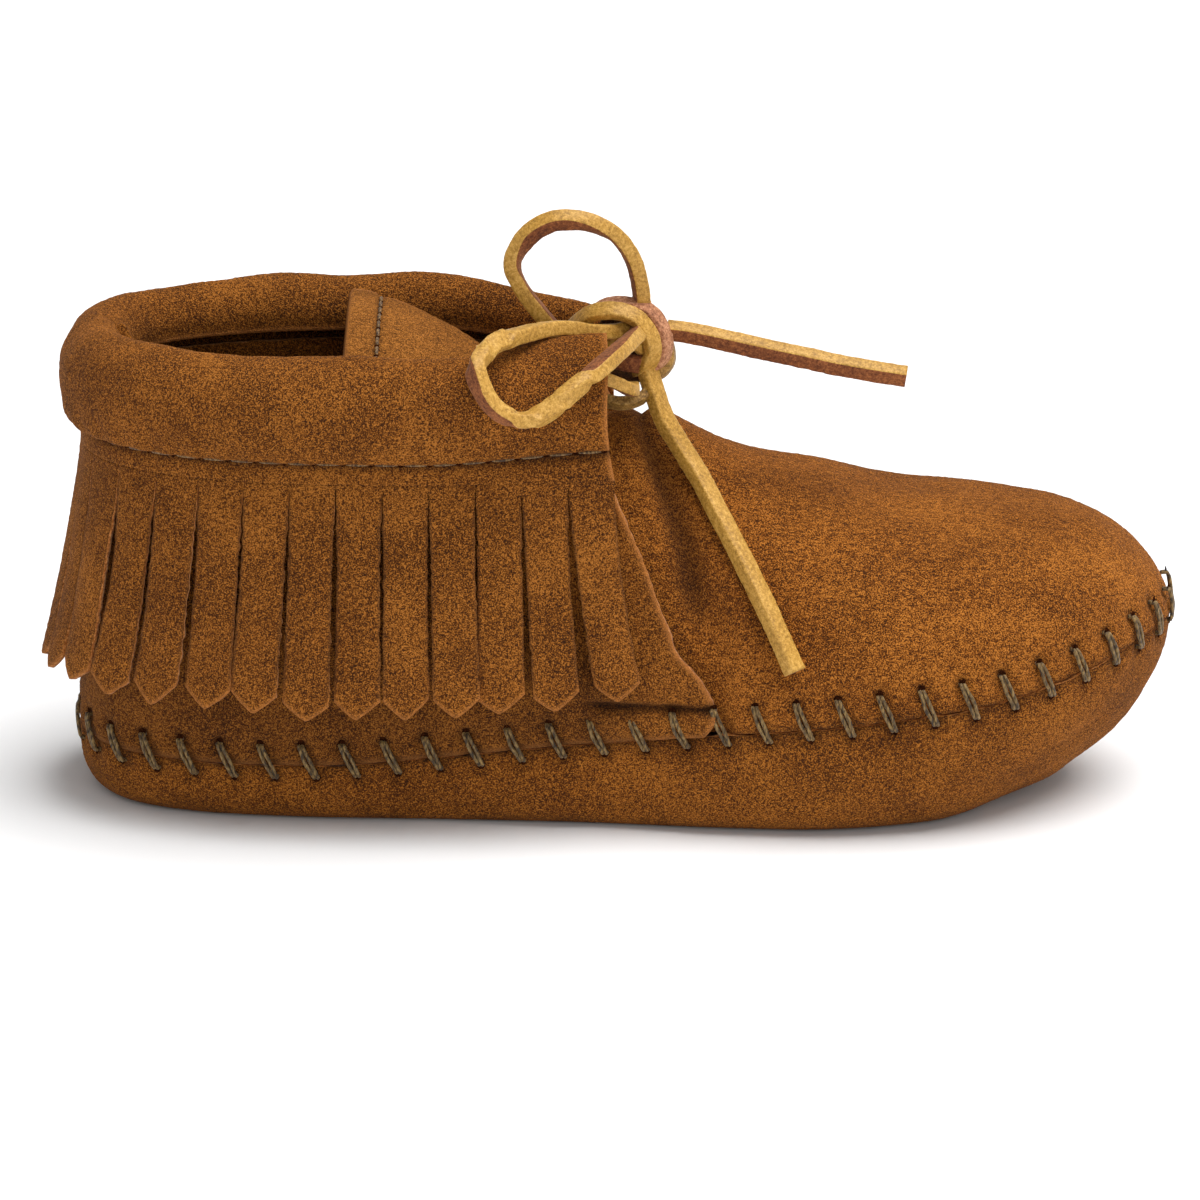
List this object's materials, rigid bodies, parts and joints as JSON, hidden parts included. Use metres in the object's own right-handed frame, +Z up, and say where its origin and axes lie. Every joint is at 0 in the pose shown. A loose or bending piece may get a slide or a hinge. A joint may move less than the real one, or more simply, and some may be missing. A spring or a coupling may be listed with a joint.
{
  "type": "moccasin",
  "caption": "Soft-sole suede ankle moccasin with whip-stitched seam, rolled collar cuff, hanging fringe, tongue and a rawhide lace tied in a bow.",
  "frame": {"origin": "on the ground under the middle of the shoe, cords left out", "axes": "+X towards the toe, +Y towards the medial side, +Z up"},
  "size_m": [0.2598, 0.0993, 0.138],
  "materials": {
    "suede": "napped suede",
    "sole_suede": "napped suede",
    "footbed_cloth": "brushed cloth over foam",
    "waxed_thread": "waxed twisted thread",
    "rawhide": "smooth rawhide lace"
  },
  "bodies": {
    "shoe": {"collar_cuff": "suede", "collar_thread": "waxed_thread", "footbed": "footbed_cloth", "fringe_band": "suede", "lace_collar_run": "rawhide", "lace_knot": "rawhide", "lace_loop_lower": "rawhide", "lace_loop_upper": "rawhide", "lace_tail_front": "rawhide", "lace_tail_side": "rawhide", "quarter": "suede", "soft_sole": "sole_suede", "vamp": "suede", "whip_thread": "waxed_thread"},
    "tongue": {"tongue": "suede", "tongue_thread": "waxed_thread"},
    "strip_01": {"fringe_strip_01": "suede"},
    "strip_02": {"fringe_strip_02": "suede"},
    "strip_03": {"fringe_strip_03": "suede"},
    "strip_04": {"fringe_strip_04": "suede"},
    "strip_05": {"fringe_strip_05": "suede"},
    "strip_06": {"fringe_strip_06": "suede"},
    "strip_07": {"fringe_strip_07": "suede"},
    "strip_08": {"fringe_strip_08": "suede"},
    "strip_09": {"fringe_strip_09": "suede"},
    "strip_10": {"fringe_strip_10": "suede"},
    "strip_11": {"fringe_strip_11": "suede"},
    "strip_12": {"fringe_strip_12": "suede"},
    "strip_13": {"fringe_strip_13": "suede"},
    "strip_14": {"fringe_strip_14": "suede"},
    "strip_15": {"fringe_strip_15": "suede"},
    "strip_16": {"fringe_strip_16": "suede"},
    "strip_17": {"fringe_strip_17": "suede"},
    "strip_18": {"fringe_strip_18": "suede"},
    "strip_19": {"fringe_strip_19": "suede"},
    "strip_20": {"fringe_strip_20": "suede"},
    "strip_21": {"fringe_strip_21": "suede"},
    "strip_22": {"fringe_strip_22": "suede"},
    "strip_23": {"fringe_strip_23": "suede"},
    "strip_24": {"fringe_strip_24": "suede"},
    "strip_25": {"fringe_strip_25": "suede"},
    "strip_26": {"fringe_strip_26": "suede"},
    "strip_27": {"fringe_strip_27": "suede"}
  },
  "joints": [
    {"name": "tongue_lift", "type": "hinge", "parent": "shoe", "child": "tongue", "pos_m": [-0.0083, 0, 0.08687], "axis": [0, 1, 0], "range_deg": [0, 15]},
    {"name": "strip_01_swing", "type": "hinge", "parent": "shoe", "child": "strip_01", "pos_m": [-0.00353, -0.03876, 0.08313], "axis": [-0.9971, -0.0756, -0.0064], "range_deg": [0, 35]},
    {"name": "strip_02_swing", "type": "hinge", "parent": "shoe", "child": "strip_02", "pos_m": [-0.01373, -0.03947, 0.08302], "axis": [-0.9976, -0.0674, -0.0138], "range_deg": [0, 35]},
    {"name": "strip_03_swing", "type": "hinge", "parent": "shoe", "child": "strip_03", "pos_m": [-0.02395, -0.04008, 0.08286], "axis": [-0.9986, -0.0504, -0.0145], "range_deg": [0, 35]},
    {"name": "strip_04_swing", "type": "hinge", "parent": "shoe", "child": "strip_04", "pos_m": [-0.03413, -0.04052, 0.08274], "axis": [-0.9994, -0.0333, -0.0087], "range_deg": [0, 35]},
    {"name": "strip_05_swing", "type": "hinge", "parent": "shoe", "child": "strip_05", "pos_m": [-0.04436, -0.04065, 0.0827], "axis": [-0.9999, 0.0126, -0.0004], "range_deg": [0, 35]},
    {"name": "strip_06_swing", "type": "hinge", "parent": "shoe", "child": "strip_06", "pos_m": [-0.05461, -0.04028, 0.0827], "axis": [-0.9987, 0.0519, 0], "range_deg": [0, 35]},
    {"name": "strip_07_swing", "type": "hinge", "parent": "shoe", "child": "strip_07", "pos_m": [-0.06484, -0.0396, 0.0827], "axis": [-0.9961, 0.0885, 0], "range_deg": [0, 35]},
    {"name": "strip_08_swing", "type": "hinge", "parent": "shoe", "child": "strip_08", "pos_m": [-0.0751, -0.03834, 0.0827], "axis": [-0.9864, 0.1641, 0], "range_deg": [0, 35]},
    {"name": "strip_09_swing", "type": "hinge", "parent": "shoe", "child": "strip_09", "pos_m": [-0.08524, -0.03618, 0.0827], "axis": [-0.9654, 0.2607, 0], "range_deg": [0, 35]},
    {"name": "strip_10_swing", "type": "hinge", "parent": "shoe", "child": "strip_10", "pos_m": [-0.09513, -0.03276, 0.0827], "axis": [-0.9152, 0.403, 0], "range_deg": [0, 35]},
    {"name": "strip_11_swing", "type": "hinge", "parent": "shoe", "child": "strip_11", "pos_m": [-0.10436, -0.02763, 0.0827], "axis": [-0.8164, 0.5774, 0], "range_deg": [0, 35]},
    {"name": "strip_12_swing", "type": "hinge", "parent": "shoe", "child": "strip_12", "pos_m": [-0.11217, -0.0202, 0.0827], "axis": [-0.596, 0.803, 0], "range_deg": [0, 35]},
    {"name": "strip_13_swing", "type": "hinge", "parent": "shoe", "child": "strip_13", "pos_m": [-0.11713, -0.01058, 0.0827], "axis": [-0.2959, 0.9552, 0], "range_deg": [0, 35]},
    {"name": "strip_14_swing", "type": "hinge", "parent": "shoe", "child": "strip_14", "pos_m": [-0.119, 0, 0.0827], "axis": [0, 1, 0], "range_deg": [0, 35]},
    {"name": "strip_15_swing", "type": "hinge", "parent": "shoe", "child": "strip_15", "pos_m": [-0.11713, 0.01058, 0.0827], "axis": [0.2959, 0.9552, 0], "range_deg": [0, 35]},
    {"name": "strip_16_swing", "type": "hinge", "parent": "shoe", "child": "strip_16", "pos_m": [-0.11217, 0.0202, 0.0827], "axis": [0.596, 0.803, 0], "range_deg": [0, 35]},
    {"name": "strip_17_swing", "type": "hinge", "parent": "shoe", "child": "strip_17", "pos_m": [-0.10436, 0.02763, 0.0827], "axis": [0.8164, 0.5774, 0], "range_deg": [0, 35]},
    {"name": "strip_18_swing", "type": "hinge", "parent": "shoe", "child": "strip_18", "pos_m": [-0.09513, 0.03276, 0.0827], "axis": [0.9152, 0.403, 0], "range_deg": [0, 35]},
    {"name": "strip_19_swing", "type": "hinge", "parent": "shoe", "child": "strip_19", "pos_m": [-0.08524, 0.03618, 0.0827], "axis": [0.9654, 0.2607, 0], "range_deg": [0, 35]},
    {"name": "strip_20_swing", "type": "hinge", "parent": "shoe", "child": "strip_20", "pos_m": [-0.0751, 0.03834, 0.0827], "axis": [0.9864, 0.1641, 0], "range_deg": [0, 35]},
    {"name": "strip_21_swing", "type": "hinge", "parent": "shoe", "child": "strip_21", "pos_m": [-0.06484, 0.0396, 0.0827], "axis": [0.9961, 0.0885, 0], "range_deg": [0, 35]},
    {"name": "strip_22_swing", "type": "hinge", "parent": "shoe", "child": "strip_22", "pos_m": [-0.05461, 0.04028, 0.0827], "axis": [0.9987, 0.0519, 0], "range_deg": [0, 35]},
    {"name": "strip_23_swing", "type": "hinge", "parent": "shoe", "child": "strip_23", "pos_m": [-0.04436, 0.04065, 0.0827], "axis": [0.9999, 0.0126, -0.0004], "range_deg": [0, 35]},
    {"name": "strip_24_swing", "type": "hinge", "parent": "shoe", "child": "strip_24", "pos_m": [-0.03413, 0.04052, 0.08267], "axis": [0.9994, -0.0333, -0.0077], "range_deg": [0, 35]},
    {"name": "strip_25_swing", "type": "hinge", "parent": "shoe", "child": "strip_25", "pos_m": [-0.02395, 0.04008, 0.08255], "axis": [0.9986, -0.0504, -0.0129], "range_deg": [0, 35]},
    {"name": "strip_26_swing", "type": "hinge", "parent": "shoe", "child": "strip_26", "pos_m": [-0.01373, 0.03947, 0.08242], "axis": [0.9977, -0.0674, -0.0122], "range_deg": [0, 35]},
    {"name": "strip_27_swing", "type": "hinge", "parent": "shoe", "child": "strip_27", "pos_m": [-0.00353, 0.03876, 0.08232], "axis": [0.9971, -0.0756, -0.0057], "range_deg": [0, 35]}
  ]
}
